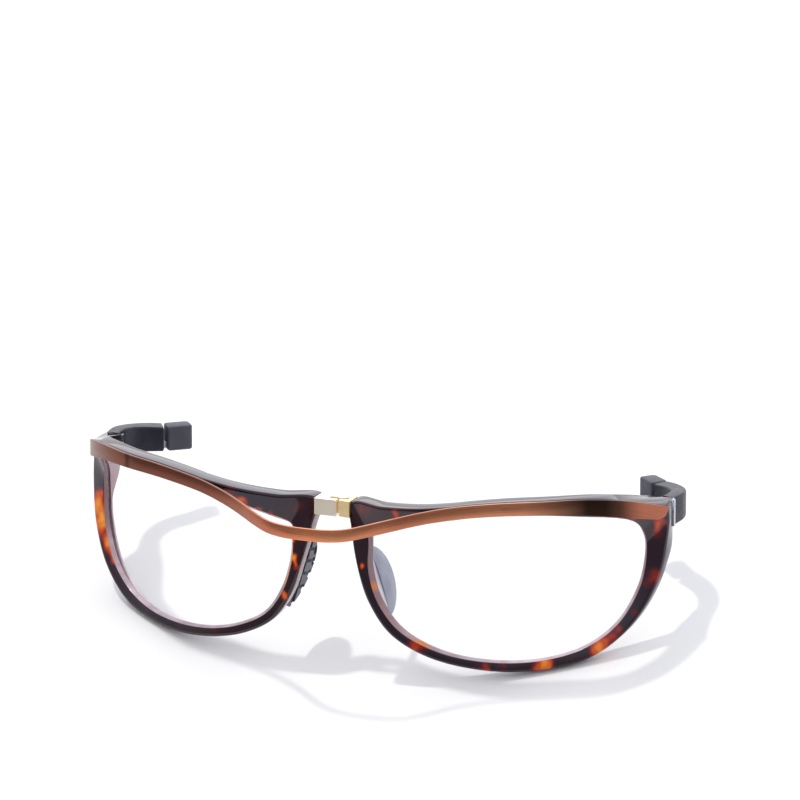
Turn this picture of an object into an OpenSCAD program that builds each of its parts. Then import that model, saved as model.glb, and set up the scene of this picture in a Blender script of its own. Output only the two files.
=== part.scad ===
// Spring-front spectacles with short clamping temples.
// The object is drawn level in its own frame: X to the right as seen from the front, Y back
// towards the ears and Z up, with zero at the top front edge of the bridge. stand() leans
// it back on its lower rims and puts the origin at the bottom centre of its bounding box.
// Left and right are as seen from the front.

/* [Stance] */
// Angle that the frame leans back as it stands on its lower rims
lean_back = 20.6; // [0:0.1:30]

/* [Front] */
// Front-to-back depth of the rims along the brow
brow_depth = 5.2; // [4:0.1:7]
// Front-to-back depth of the lower rims
rim_depth = 3.8; // [3.2:0.1:5]
// Thickness of each lens
lens_thick = 1.6; // [1:0.1:2]
// How far the lens edge sits in its groove
lens_seat = 0.7; // [0.3:0.1:1]
// How far the middle of each lens bulges forwards
lens_bulge = 5; // [3:0.5:8]

/* [Spring bar] */
// Thickness of the spring bar
bar_thick = 0.7; // [0.4:0.1:1]

/* [Bridge] */
// Height of the bridge blocks
bridge_h = 3.8; // [3:0.1:5]
// Radius of the bridge knuckles
bridge_knuckle_r = 1.5; // [1.2:0.1:1.7]
// Radius of the bridge pin
bridge_pin_r = 0.6; // [0.4:0.05:0.8]

/* [Temples] */
// Height of a temple at its hinge
temple_h = 6.8; // [5:0.1:8]
// Height of a temple at its tip joint
temple_tip_h = 5.8; // [4:0.1:7]
// Thickness of a temple at its hinge
temple_hinge_w = 3.4; // [3.2:0.1:4.4]
// Thickness of a temple at its tip joint
temple_w = 4.4; // [3.5:0.1:5.4]
// Radius of the temple hinge pins
hinge_pin_r = 0.5; // [0.4:0.05:0.7]
// Length of a tip pad
tip_len = 6; // [5:0.1:9]

/* [Nose pads] */
// Thickness of a nose pad
pad_thick = 1.8; // [1.4:0.1:2.6]
// Radius of a nose pad's curved back edge
pad_r = 8.6; // [7:0.1:10]
// Number of grooves in a nose pad
pad_grooves = 5; // [3:1:7]

/* [Hidden] */
$fn = 48;
// Running clearance on the radius of every pin
pin_gap = 0.05;
// Clearance between parts that move past each other
move_gap = 0.3;
// Clearance between hinge lobes that turn past each other
lobe_gap = 0.15;
// Clearance between parts that lie against each other
seat_gap = 0.05;
// Clearance between the spring bar and the brow behind it
bar_gap = 0.15;
// Height of the bridge's top front edge above the surface, and how far the middle of
// the standing object lies behind that edge
stand_height = 39.465;
stand_back = 15.479;

// Top front edge of the spring bar from its middle to its end, and its height there
bar_line = [
    [0, -16.3, -2.3, 2.9], [5, -16.2, -2.2, 2.9], [9.6, -15.2, -1.8, 2.9],
    [14, -13, -0.9, 2.9], [18.6, -10, 0.1, 2.9], [24, -7.3, 1.4, 2.9], [31, -5, 2.9, 2.9],
    [41, -2.6, 4.3, 3], [51, 0.3, 5.1, 3.2], [59.4, 6, 5, 3.6], [66.4, 14.6, 3.2, 4],
    [71.8, 26.3, -0.6, 3.3]
];
// Height left at the very end of the bar, where its lower corner is cut off
bar_end_h = 0.9;
// The brow lies against the bar from this point of bar_line to its end.
brow_start = 6;
// Outer front edge of the right rim: from the bridge to the brow, then from the end of
// the brow down the outer side, along the lower rim and up the nose side.
bridge_side = [[4.4, 0.6, -0.2], [13, -2.6, 0.5], [22, -4.3, 1.5]];
lower_side = [
    [71.4, 26.4, -10], [69.6, 23.6, -19.6], [65.2, 19.4, -28.2], [58, 14.6, -34.7],
    [49, 9.6, -37.4], [39.5, 5.2, -37.9], [30, 1.6, -36.6], [21.5, -0.2, -34.1],
    [14.3, -1, -29.8], [9.6, -1.6, -23], [7, -1.8, -15.4], [5, -0.6, -7]
];
// Front edge of the lens opening, with one point for each point of the outer edge
opening_line = [
    [10.2, -0.8, -6.9], [14.6, -1.9, -5.2], [22, -3, -3], [31, -3, -0.8], [41, -0.6, 0.8],
    [50, 1.8, 1.1], [57.6, 6.6, 0.4], [65.2, 17.4, -2.4], [66.7, 22.8, -6.8], [66.8, 23.6, -12.4],
    [65.6, 22, -19.6], [61.9, 18.8, -27.2], [56, 14.6, -32.3], [48.4, 9.9, -34.8],
    [39.5, 5.8, -35.4], [30.2, 2.1, -34.2], [22.4, 0.3, -31.7], [16.4, -0.4, -28],
    [12.4, -1, -22], [10.4, -1, -15.6], [10, -0.7, -10.4]
];
// Middle line of the top of the right temple, from its hinge to its tip joint
temple_line = [
    [69.4, 33.1, -0.3], [69.6, 37.6, -0.4], [68.4, 41.4, -0.8], [65.7, 44.3, -1.1],
    [62.3, 46.4, -1.4]
];
curve_steps = 4;
rim_round = 0.8;
edge_round = 0.3;

// Flat back face of the end piece, and the hinge plate on it
end_face_y = 32.1;
end_top = -0.3;
end_flare = 0.1;
plate_t = 0.7;
plate_size = [4.4, plate_t, 6.3];
plate_x = 66.7;
// How far the plate's top lies below the top of the end piece
plate_drop = 0.4;
// Axis of the temple hinge, the radius and height of its lobes, and where they start
hinge_x = 68.2;
hinge_stand_off = 1.4;
hinge_y = end_face_y + plate_t + hinge_stand_off;
hinge_r = 1.2;
hinge_lobe = 1.6;
hinge_top = -1;
hinge_bottom = hinge_top - 3 * hinge_lobe - 2 * lobe_gap;
// Direction that a tip pad points in, from the front, and its joint
tip_heading = 50;
tip_run = [-sin(tip_heading), cos(tip_heading), 0];
tip_end_gap = 0.7;
tip_overhang = 1.2;
tip_joint = temple_line[len(temple_line) - 1] + (tip_end_gap + tip_overhang) * tip_run;
tip_r = 1.1;
tip_pin_r = 0.45;
tip_lobe_top = -5.2;
tip_lobe = 1.6;
tip_tongue_len = 3;
// Room kept above and below each tip pin, so that it doesn't show
tip_pin_inset = 0.6;
// Chamfer on the corners of a temple, and on the upright corners of a tip pad
temple_bevel = 0.5;
tip_bevel = 0.7;
// How much thinner a tip pad is than its temple
tip_thinner = 0.2;
// Axis of the bridge hinge
bridge_x = 1.25;
bridge_y = 4;
// Middle of a nose pad's straight front edge, and how the pad is turned
nose_pos = [9.3, 3.4, -19.6];
nose_slope = 18;
nose_splay = 1.5;

// Moves the level object onto the surface that it stands on.
module stand() {
    translate([0, -stand_back, stand_height])
        rotate([-lean_back, 0, 0])
            children();
}

// Places a part that is drawn for the right side: 1 is right and -1 is left.
module on_side(side) {
    stand()
        if (side > 0) {
            children();
        } else {
            mirror([1, 0, 0]) children();
        }
}

function wrap(i, n) = (i + n) % n;
function unit(v) = v / norm(v);
function ramp(x, low, high) =
    let (t = min(1, max(0, (x - low) / (high - low))))
    t * t * (3 - 2 * t);
function spline(a, b, c, d, t) =
    0.5 * (2 * b + (c - a) * t + (2 * a - 5 * b + 4 * c - d) * t * t
        + (3 * b - a - 3 * c + d) * t * t * t);
function closed_curve(p) = [
    for (i = [0 : len(p) - 1], k = [0 : curve_steps - 1])
        spline(p[wrap(i - 1, len(p))], p[i], p[wrap(i + 1, len(p))],
            p[wrap(i + 2, len(p))], k / curve_steps)
];
function open_curve(p) = concat(
    [for (i = [0 : len(p) - 2], k = [0 : curve_steps - 1])
        spline(p[max(i - 1, 0)], p[i], p[i + 1], p[min(i + 2, len(p) - 1)],
            k / curve_steps)],
    [p[len(p) - 1]]
);
// Level direction across an open curve at point i, to the left of its run
function across(p, i) =
    let (t = p[min(i + 1, len(p) - 1)] - p[max(i - 1, 0)])
    unit([-t[1], t[0], 0]);
function point(p) = [p[0], p[1], p[2]];

// Two triangles between neighbouring sections a and b, for side j of m
function side_faces(a, b, j, m) =
    let (k = wrap(j + 1, m))
    [[a * m + j, b * m + k, a * m + k], [a * m + j, b * m + j, b * m + k]];

// Closed ring through a list of sections
module ring(sections) {
    n = len(sections);
    m = len(sections[0]);
    polyhedron(
        points = [for (s = sections, p = s) p],
        faces = [for (i = [0 : n - 1], j = [0 : m - 1])
            each side_faces(i, wrap(i + 1, n), j, m)]
    );
}

// Solid strip through a list of sections, with flat ends
module sweep(sections) {
    n = len(sections);
    m = len(sections[0]);
    polyhedron(
        points = [for (s = sections, p = s) p],
        faces = concat(
            [for (i = [0 : n - 2], j = [0 : m - 1]) each side_faces(i, i + 1, j, m)],
            [[for (j = [0 : m - 1]) j]],
            [[for (j = [m - 1 : -1 : 0]) (n - 1) * m + j]]
        )
    );
}

// Rims and lenses

bar_curve = open_curve(concat(
    [for (i = [len(bar_line) - 1 : -1 : 1]) let (p = bar_line[i]) [-p[0], p[1], p[2], p[3]]],
    bar_line
));
// Point just behind the bar's back face, at station k of the brow
brow_first = (len(bar_line) - 1 + brow_start) * curve_steps;
function brow_edge(k) =
    let (i = brow_first + k)
    point(bar_curve[i]) + (bar_thick + bar_gap) * across(bar_curve, i);
// The brow's control points only shape its two ends: its stations follow the bar itself.
rim_curve = closed_curve(concat(
    bridge_side,
    [for (k = [0 : curve_steps : (len(bar_line) - 1 - brow_start) * curve_steps]) brow_edge(k)],
    lower_side
));
brow_from = len(bridge_side) * curve_steps;
brow_to = brow_from + (len(bar_line) - 1 - brow_start) * curve_steps;
stations = [0 : len(rim_curve) - 1];
rim_edge = [
    for (i = stations) i >= brow_from && i <= brow_to ? brow_edge(i - brow_from) : rim_curve[i]
];
opening_edge = closed_curve(opening_line);
// Direction from the rim's outer edge to its opening, at each station
rim_in = [for (i = stations) unit(opening_edge[i] - rim_edge[i])];

// Point on the back of the rim behind point p of its front edge. Near the outer top corner
// it runs back and down to the flat face of the end piece.
function rim_back(p) =
    let (depth = rim_depth + (brow_depth - rim_depth) * ramp(p[2], -14, -2),
        end_piece = ramp(p[0], 62, 67) * ramp(p[2], -15, -8),
        plain = p + [0, depth, 0],
        flat = [p[0] + end_flare * ramp(p[0], 66, 71), end_face_y, min(p[2], end_top)])
    plain + end_piece * (flat - plain);
groove_front = 1.1;

function rim_section(i) =
    let (o = rim_edge[i], e = opening_edge[i], u = rim_in[i], d = [0, 1, 0],
        bo = rim_back(o), be = rim_back(e), v = unit(be - bo),
        g = groove_front, h = g + lens_thick + 2 * seat_gap, s = lens_seat + seat_gap)
    [
        o + rim_round * u, e - edge_round * u, e + edge_round * d, e + g * d,
        e + g * d - s * u, e + h * d - s * u, e + h * d, be - edge_round * d,
        be - edge_round * v, bo + rim_round * v,
        bo - rim_round * unit(bo - o), o + rim_round * unit(bo - o)
    ];

module rim(side) {
    color("saddlebrown")
        on_side(side)
            ring([for (i = stations) rim_section(i)]);
}

// Edge of the lens front face, seated in the groove, and the line where it leaves the groove
lens_edge = [
    for (i = stations)
        opening_edge[i] + (groove_front + seat_gap) * [0, 1, 0] - lens_seat * rim_in[i]
];
lens_lip = [for (i = stations) lens_edge[i] + (lens_seat + 0.1) * rim_in[i]];
lens_middle = [for (p = lens_lip) 1] * lens_lip / len(lens_lip);
// Direction from the front of a lens to its back, through its middle
lens_axis = unit([-0.42, 0.9, 0.1]);
lens_rings = [1, 0.8, 0.6, 0.4, 0.2];
// Point of the lens front face on the line from its middle to point i of its lip
function lens_point(i, s) =
    let (v = lens_lip[i] - lens_middle, off = (v * lens_axis) * lens_axis)
    lens_middle + s * (v - off) + s * s * off - (1 - s * s) * lens_bulge * lens_axis;

module lens(side) {
    n = len(lens_edge);
    back = [0, lens_thick, 0];
    front_points = concat(
        lens_edge, [for (s = lens_rings, i = stations) lens_point(i, s)], [lens_point(0, 0)]);
    middle = len(front_points) - 1;
    last_ring = len(lens_rings) * n;
    front_faces = concat(
        [for (r = [0 : len(lens_rings) - 1], j = stations) each side_faces(r + 1, r, j, n)],
        [for (j = stations) [last_ring + j, last_ring + wrap(j + 1, n), middle]]
    );
    color("lightblue", 0.3)
        on_side(side)
            polyhedron(
                points = concat(front_points, [for (p = front_points) p + back]),
                faces = concat(
                    front_faces,
                    [for (f = front_faces) [for (k = [2, 1, 0]) f[k] + middle + 1]],
                    [for (j = stations) let (k = wrap(j + 1, n), m = middle + 1)
                        each [[j, m + k, k], [j, m + j, m + k]]]
                )
            );
}

// Spring bar

bar_last = len(bar_curve) - 1;
function bar_section(i) =
    let (p = point(bar_curve[i]), n = bar_thick * across(bar_curve, i),
        h = [0, 0, i == 0 || i == bar_last ? bar_end_h : bar_curve[i][3]])
    [p, p - h, p - h + n, p + n];

module front_bar() {
    color("sienna")
        stand()
            sweep([for (i = [0 : bar_last]) bar_section(i)]);
}

// Stud on the back of the bar's end, pressed into the brow
stud_r = 0.8;
stud_len = 2.4;
stud_at = 10;
module bar_stud(side) {
    p = point(bar_line[stud_at]);
    n = across(bar_line, stud_at);
    color("silver")
        on_side(side)
            translate(p + (bar_thick + bar_gap / 3) * n + [0, 0, -2])
                rotate([0, 90, atan2(n[1], n[0])])
                    cylinder(r = stud_r, h = stud_len);
}

// Bridge

bridge_end = 4.3;
bridge_depth = 5.2;
bridge_left_edge = 1;
bridge_front_gap = 0.5;
bridge_leaf = 1.3;
bridge_post = [3.1, 1];
bridge_link = 2;
bridge_tenon = [1.2, 3.6, 2.6];
bridge_lobe = (bridge_h - 2 * lobe_gap) / 3;

module bridge_knuckle(from_z, height) {
    translate([bridge_x, bridge_y, from_z])
        cylinder(r = bridge_knuckle_r, h = height);
}

module bridge_pin_hole(r) {
    translate([bridge_x, bridge_y, -bridge_h - 1])
        cylinder(r = r, h = bridge_h + 2);
}

// Tenon that holds a block in the end of its rim: 1 is right and -1 is left
module bridge_tenon(side) {
    translate([side * bridge_end, bridge_depth / 2 + 0.2, -bridge_h / 2])
        cube([2 * bridge_tenon[0], bridge_tenon[1], bridge_tenon[2]], center = true);
}

// Left block: a flat front, and the top and bottom knuckles
module bridge_block_left() {
    color("khaki")
        stand()
            difference() {
                union() {
                    translate([-bridge_end, 0, -bridge_h])
                        cube([bridge_end + bridge_left_edge, bridge_leaf, bridge_h]);
                    translate([-bridge_end, 0, -bridge_h])
                        cube([bridge_post[0], bridge_depth, bridge_h]);
                    for (z = [-bridge_h, -bridge_lobe]) {
                        bridge_knuckle(z, bridge_lobe);
                        translate([-bridge_end, bridge_y - bridge_link / 2, z])
                            cube([bridge_end + bridge_x, bridge_link, bridge_lobe]);
                    }
                    bridge_tenon(-1);
                }
                bridge_pin_hole(bridge_pin_r);
            }
}

// Right block: a slanted front, and the middle knuckle
module bridge_block_right() {
    leaf_x = bridge_left_edge + bridge_front_gap;
    leaf_y = bridge_leaf + 0.4;
    low = -bridge_h + bridge_lobe + lobe_gap;
    color("khaki")
        stand()
            difference() {
                union() {
                    translate([0, 0, -bridge_h])
                        linear_extrude(bridge_h)
                            polygon([
                                [leaf_x, 0.5], [bridge_end, 0], [bridge_end, bridge_depth],
                                [bridge_end - bridge_post[1], bridge_depth],
                                [bridge_end - bridge_post[1], leaf_y], [leaf_x, leaf_y]
                            ]);
                    bridge_knuckle(low, bridge_lobe);
                    translate([bridge_x, bridge_y - bridge_link / 2, low])
                        cube([bridge_end - bridge_x, bridge_link, bridge_lobe]);
                    bridge_tenon(1);
                }
                bridge_pin_hole(bridge_pin_r + pin_gap);
            }
}

module bridge_pin() {
    color("gold")
        stand()
            translate([bridge_x, bridge_y, -bridge_h - 0.1])
                cylinder(r = bridge_pin_r, h = bridge_h + 0.2);
}

// Nose pads

// Places a nose pad's own frame: X back from the rim, Y up and Z away from the nose
module at_nose(side) {
    on_side(side)
        translate(nose_pos)
            rotate([0, -nose_slope, 0])
                rotate([0, 0, -nose_splay])
                    rotate([90, 0, 90])
                        children();
}

// Side of the square whose corner cuts each groove
groove_side = 0.8;
module nose_pad(side) {
    pitch = 2 * pad_r / (pad_grooves + 1);
    color("slategray")
        at_nose(side)
            difference() {
                linear_extrude(pad_thick)
                    intersection() {
                        circle(pad_r);
                        translate([0, -pad_r]) square(2 * pad_r);
                    }
                for (k = [1 : pad_grooves])
                    translate([0, pad_r - k * pitch, 0])
                        rotate([45, 0, 0])
                            cube([4 * pad_r, groove_side, groove_side], center = true);
            }
}

// Strip that joins a nose pad's front edge to the back of its rim
clip_size = [2.8, 12, 1];
clip_in_rim = 2;
module nose_pad_clip(side) {
    color("lightgray")
        at_nose(side)
            translate([-clip_in_rim, -clip_size[1] / 2, (pad_thick - clip_size[2]) / 2])
                cube(clip_size);
}

// Temple hinges

module hinge_lobe(from_z) {
    translate([hinge_x, hinge_y, from_z])
        cylinder(r = hinge_r, h = hinge_lobe);
}

// Plate on the end piece, with its tang in the end piece and its top and bottom lobes
hinge_tang = [2.6, 2.4, 2.6];
module hinge_plate(side) {
    back = end_face_y + plate_t;
    color("silver")
        on_side(side)
            difference() {
                union() {
                    translate([plate_x, end_face_y + seat_gap, end_top - plate_drop - plate_size[2]])
                        cube([plate_size[0], plate_t - seat_gap, plate_size[2]]);
                    translate([hinge_x, back - hinge_tang[1], hinge_bottom / 2])
                        cube([hinge_tang[0], hinge_tang[1], hinge_tang[2]]);
                    for (z = [hinge_top - hinge_lobe, hinge_bottom]) {
                        hinge_lobe(z);
                        translate([hinge_x - hinge_r, back - plate_t / 2, z])
                            cube([2 * hinge_r, hinge_y - back + plate_t / 2, hinge_lobe]);
                    }
                }
                translate([hinge_x, hinge_y, hinge_bottom - 1])
                    cylinder(r = hinge_pin_r, h = hinge_top - hinge_bottom + 2);
            }
}

module hinge_pin(side) {
    color("gray")
        on_side(side)
            translate([hinge_x, hinge_y, hinge_bottom - 0.1])
                cylinder(r = hinge_pin_r, h = hinge_top - hinge_bottom + 0.2);
}

// Temples

temple_curve = open_curve(temple_line);
temple_last = len(temple_curve) - 1;
function temple_height(i) = temple_h + (temple_tip_h - temple_h) * i / temple_last;
function temple_width(i) =
    temple_hinge_w + (temple_w - temple_hinge_w) * ramp(i, 0, temple_last);

// Section of a strip along the temple, w thick and between two heights below its top
function strip_section(i, w, top, bottom, bevel) =
    let (p = temple_curve[i], n = -across(temple_curve, i) / 2, z = [0, 0, 1])
    [
        p + (w - 2 * bevel) * n - top * z, p + w * n - (top + bevel) * z,
        p + w * n - (bottom - bevel) * z, p + (w - 2 * bevel) * n - bottom * z,
        p - (w - 2 * bevel) * n - bottom * z, p - w * n - (bottom - bevel) * z,
        p - w * n - (top + bevel) * z, p - (w - 2 * bevel) * n - top * z
    ];

core_w = 1.2;
core_top = 2.4;
core_bottom = 4;
core_bevel = 0.1;
hinge_arm = [1.9, 4.2];

// Metal strip in the temple, with the hinge's middle lobe and the tip joint's tongue
module temple_core(side) {
    middle = hinge_top - 2 * hinge_lobe - lobe_gap;
    color("darkgray")
        on_side(side)
            difference() {
                union() {
                    sweep([for (i = [1 : temple_last])
                        strip_section(i, core_w, core_top, core_bottom, core_bevel)]);
                    hinge_lobe(middle);
                    translate([hinge_x, hinge_y, middle])
                        cube([hinge_arm[0], hinge_arm[1], hinge_lobe]);
                    at_tip()
                        translate([0, 0, tip_lobe_top - tip_lobe - tip_joint[2]]) {
                            cylinder(r = tip_r, h = tip_lobe);
                            translate([-tip_tongue_len, -core_w / 2, 0])
                                cube([tip_tongue_len, core_w, tip_lobe]);
                        }
                }
                translate([hinge_x, hinge_y, middle - 1])
                    cylinder(r = hinge_pin_r + pin_gap, h = hinge_lobe + 2);
                at_tip()
                    tip_bore(tip_pin_r + pin_gap);
            }
}

module temple(side) {
    // Room for the hinge's lobes, and for the arms that hold them on the plate
    room_top = hinge_top + move_gap;
    room_h = room_top - hinge_bottom + move_gap;
    color("dimgray")
        on_side(side)
            difference() {
                sweep([for (i = [0 : temple_last])
                    strip_section(i, temple_width(i), 0, temple_height(i), temple_bevel)]);
                translate([hinge_x, hinge_y, room_top - room_h])
                    cylinder(r = hinge_r + move_gap, h = room_h);
                translate([hinge_x - 3, hinge_y - 2, room_top - room_h])
                    cube([3 + hinge_r + move_gap, 2, room_h]);
            }
}

// Tip joints

// Frame of a tip pad: X along the pad away from the temple, Y towards the inside
module at_tip() {
    translate(tip_joint)
        rotate([0, 0, 90 + tip_heading])
            children();
}

module tip_bore(r) {
    translate([0, 0, -temple_tip_h - 1])
        cylinder(r = r, h = temple_tip_h + 2);
}

module tip_pin(side) {
    color("gray")
        on_side(side)
            at_tip()
                translate([0, 0, tip_pin_inset - temple_tip_h])
                    cylinder(r = tip_pin_r, h = temple_tip_h - 2 * tip_pin_inset);
}

// Pad that turns on the tongue, which sits in a pocket inside it
module tip_pad(side) {
    w = (temple_w - tip_thinner) / 2;
    c = tip_bevel;
    from = -tip_overhang;
    to = tip_len - tip_overhang;
    pocket_h = tip_lobe + 2 * lobe_gap;
    color("dimgray")
        on_side(side)
            at_tip()
                difference() {
                    translate([0, 0, -temple_tip_h])
                        linear_extrude(temple_tip_h)
                            polygon([
                                [from, c - w], [from + c, -w], [to - c, -w], [to, c - w],
                                [to, w - c], [to - c, w], [from + c, w], [from, w - c]
                            ]);
                    translate([0, 0, tip_lobe_top - tip_lobe - lobe_gap - tip_joint[2]]) {
                        cylinder(r = tip_r + move_gap, h = pocket_h);
                        translate([from - 1, -tip_r, 0])
                            cube([1 - from, 2 * tip_r, pocket_h]);
                    }
                    translate([0, 0, tip_pin_inset - temple_tip_h])
                        cylinder(r = tip_pin_r, h = temple_tip_h - 2 * tip_pin_inset);
                }
}

rim(-1);  // rim_left
rim(1);  // rim_right
lens(-1);  // lens_left
lens(1);  // lens_right
front_bar();
bar_stud(-1);  // bar_stud_left
bar_stud(1);  // bar_stud_right
bridge_block_left();
bridge_block_right();
bridge_pin();
nose_pad(-1);  // nose_pad_left
nose_pad(1);  // nose_pad_right
nose_pad_clip(-1);  // nose_pad_clip_left
nose_pad_clip(1);  // nose_pad_clip_right
hinge_plate(-1);  // hinge_plate_left
hinge_plate(1);  // hinge_plate_right
hinge_pin(-1);  // hinge_pin_left
hinge_pin(1);  // hinge_pin_right
temple_core(-1);  // temple_core_left
temple_core(1);  // temple_core_right
temple(-1);  // temple_left
temple(1);  // temple_right
tip_pin(-1);  // tip_pin_left
tip_pin(1);  // tip_pin_right
tip_pad(-1);  // tip_pad_left
tip_pad(1);  // tip_pad_right
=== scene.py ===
import math

import bpy
import numpy as np
from mathutils import Matrix, Vector


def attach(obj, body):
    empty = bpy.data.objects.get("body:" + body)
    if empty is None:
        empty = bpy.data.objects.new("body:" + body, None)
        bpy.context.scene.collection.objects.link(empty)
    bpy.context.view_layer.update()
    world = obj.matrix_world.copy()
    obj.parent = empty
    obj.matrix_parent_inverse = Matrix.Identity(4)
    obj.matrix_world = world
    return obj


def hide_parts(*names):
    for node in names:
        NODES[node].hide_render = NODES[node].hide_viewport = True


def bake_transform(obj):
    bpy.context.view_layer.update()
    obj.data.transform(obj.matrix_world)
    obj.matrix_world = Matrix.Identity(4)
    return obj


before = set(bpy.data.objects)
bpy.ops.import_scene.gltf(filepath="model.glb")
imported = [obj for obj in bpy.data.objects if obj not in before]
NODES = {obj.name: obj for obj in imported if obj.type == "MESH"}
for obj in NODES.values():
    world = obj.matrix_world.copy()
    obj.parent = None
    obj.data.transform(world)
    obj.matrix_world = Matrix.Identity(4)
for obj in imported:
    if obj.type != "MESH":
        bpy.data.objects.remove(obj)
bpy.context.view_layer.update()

MM = 0.001

# The object is drawn level, in millimetres, as the CAD source draws it: X right, Y back and Z up
# from the top front edge of the bridge. stand() leans it back onto the floor, in metres.
LEAN = math.radians(20.6)
STAND_BACK, STAND_HEIGHT = 15.479, 39.465
FRONT = Matrix.Rotation(-LEAN, 3, "X")


def stand(p, side=1):
    """The standing place of a point of the level frame, mirrored where side is -1."""
    v = FRONT @ Vector((side * p[0], p[1], p[2]))
    return (v + Vector((0, -STAND_BACK, STAND_HEIGHT))) * MM


# ---- curves ----

# Points along a curve for each of its control points
STEPS = 12


def unit(v):
    return np.array(v, float) / np.linalg.norm(v)


def ramp(x, low, high):
    """Rises smoothly from 0 at low to 1 at high."""
    t = min(1.0, max(0.0, (x - low) / (high - low)))
    return t * t * (3 - 2 * t)


def spline(a, b, c, d, t):
    return 0.5 * (2 * b + (c - a) * t + (2 * a - 5 * b + 4 * c - d) * t**2
                  + (3 * b - a - 3 * c + d) * t**3)


def closed_curve(points):
    p = [np.array(q, float) for q in points]
    n = len(p)
    return [spline(p[i - 1], p[i], p[(i + 1) % n], p[(i + 2) % n], k / STEPS)
            for i in range(n) for k in range(STEPS)]


def open_curve(points):
    p = [np.array(q, float) for q in points]
    n = len(p)
    out = [spline(p[max(i - 1, 0)], p[i], p[i + 1], p[min(i + 2, n - 1)], k / STEPS)
           for i in range(n - 1) for k in range(STEPS)]
    return out + [p[-1]]


def across(curve, i):
    """Level direction square to the curve at its point i."""
    t = curve[min(i + 1, len(curve) - 1)] - curve[max(i - 1, 0)]
    return unit([-t[1], t[0], 0])


def rounded(corners, radii, steps=4):
    """Outline through the corners, each one rounded off by its radius."""
    out = []
    n = len(corners)
    for i, (p, r) in enumerate(zip(corners, radii)):
        if r == 0:
            out.append(p)
            continue
        a = p + r * unit(corners[i - 1] - p)
        b = p + r * unit(corners[(i + 1) % n] - p)
        for k in range(steps + 1):
            t = k / steps
            out.append((1 - t) ** 2 * a + 2 * t * (1 - t) * p + t * t * b)
    return out


# ---- meshes ----

SHARP_ANGLE = 35
DISC_POINTS = 32
EDGE_STEPS = 3


def make(name, points, faces, side=1, sharp=SHARP_ANGLE, slots=None, uv=None):
    """A piece from points in the level frame, mirrored for the left side."""
    if side < 0:
        faces = [f[::-1] for f in faces]
    mesh = bpy.data.meshes.new(name)
    mesh.from_pydata([stand(p, side) for p in points], [], faces)
    mesh.shade_smooth()
    mesh.set_sharp_from_angle(angle=math.radians(sharp))
    if slots is not None:
        mesh.polygons.foreach_set("material_index", slots)
    if uv is not None:
        layer = mesh.uv_layers.new(name="along")
        for loop in mesh.loops:
            layer.data[loop.index].uv = uv[loop.vertex_index]
    mesh.update()
    obj = bpy.data.objects.new(name, mesh)
    bpy.context.scene.collection.objects.link(obj)
    return obj


def strip_faces(n, m, closed):
    """Quads through n sections of m points each, with end caps unless the ring is closed."""
    faces = [(i * m + j, ((i + 1) % n) * m + j, ((i + 1) % n) * m + (j + 1) % m, i * m + (j + 1) % m)
             for i in range(n if closed else n - 1) for j in range(m)]
    if not closed:
        faces.append(tuple(range(m)))
        faces.append(tuple(range(n * m - 1, (n - 1) * m - 1, -1)))
    return faces


def cut(obj, cutter):
    """Takes the cutter's shape out of obj for good."""
    modifier = obj.modifiers.new("cut", "BOOLEAN")
    modifier.object = cutter
    modifier.operation = "DIFFERENCE"
    modifier.solver = "EXACT"
    bpy.context.view_layer.update()
    mesh = bpy.data.meshes.new_from_object(obj.evaluated_get(bpy.context.evaluated_depsgraph_get()))
    obj.modifiers.clear()
    obj.data = mesh
    mesh.set_sharp_from_angle(angle=math.radians(SHARP_ANGLE))
    bpy.data.objects.remove(cutter)


def prism(outline, low, high, rounding=0.0):
    """Points and faces of an upright prism with rounded top and bottom edges."""
    centre = sum(outline) / len(outline)
    rings = [(0, low), (0, high)]
    if rounding:
        turns = [math.pi / 2 * k / EDGE_STEPS for k in range(EDGE_STEPS + 1)]
        rings = [(rounding * (1 - math.sin(a)), low + rounding * (1 - math.cos(a))) for a in turns]
        rings += [(inset, low + high - z) for inset, z in rings[::-1]]
    points = []
    for inset, z in rings:
        for p in outline:
            v = p - centre
            q = centre + v * (1 - inset / np.linalg.norm(v))
            points.append(np.array([q[0], q[1], z]))
    return points, [f[::-1] for f in strip_faces(len(rings), len(outline), False)]


def disc(x, y, r):
    turns = [2 * math.pi * k / DISC_POINTS for k in range(DISC_POINTS)]
    return [np.array([x + r * math.cos(a), y + r * math.sin(a)]) for a in turns]


def block(x0, y0, x1, y1):
    return [np.array(p, float) for p in ((x0, y0), (x1, y0), (x1, y1), (x0, y1))]


# ---- materials ----

def add_node(tree, kind, settings=None, **inputs):
    """A shader node with its inputs set or linked, each one named, or numbered as i0, i1 and so on."""
    node = tree.nodes.new(kind)
    for key, value in (settings or {}).items():
        setattr(node, key, value)
    for key, value in inputs.items():
        numbered = key[0] == "i" and key[1:].isdigit()
        socket = node.inputs[int(key[1:]) if numbered else key.replace("_", " ")]
        if isinstance(value, bpy.types.NodeSocket):
            tree.links.new(value, socket)
        else:
            socket.default_value = value
    return node


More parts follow.
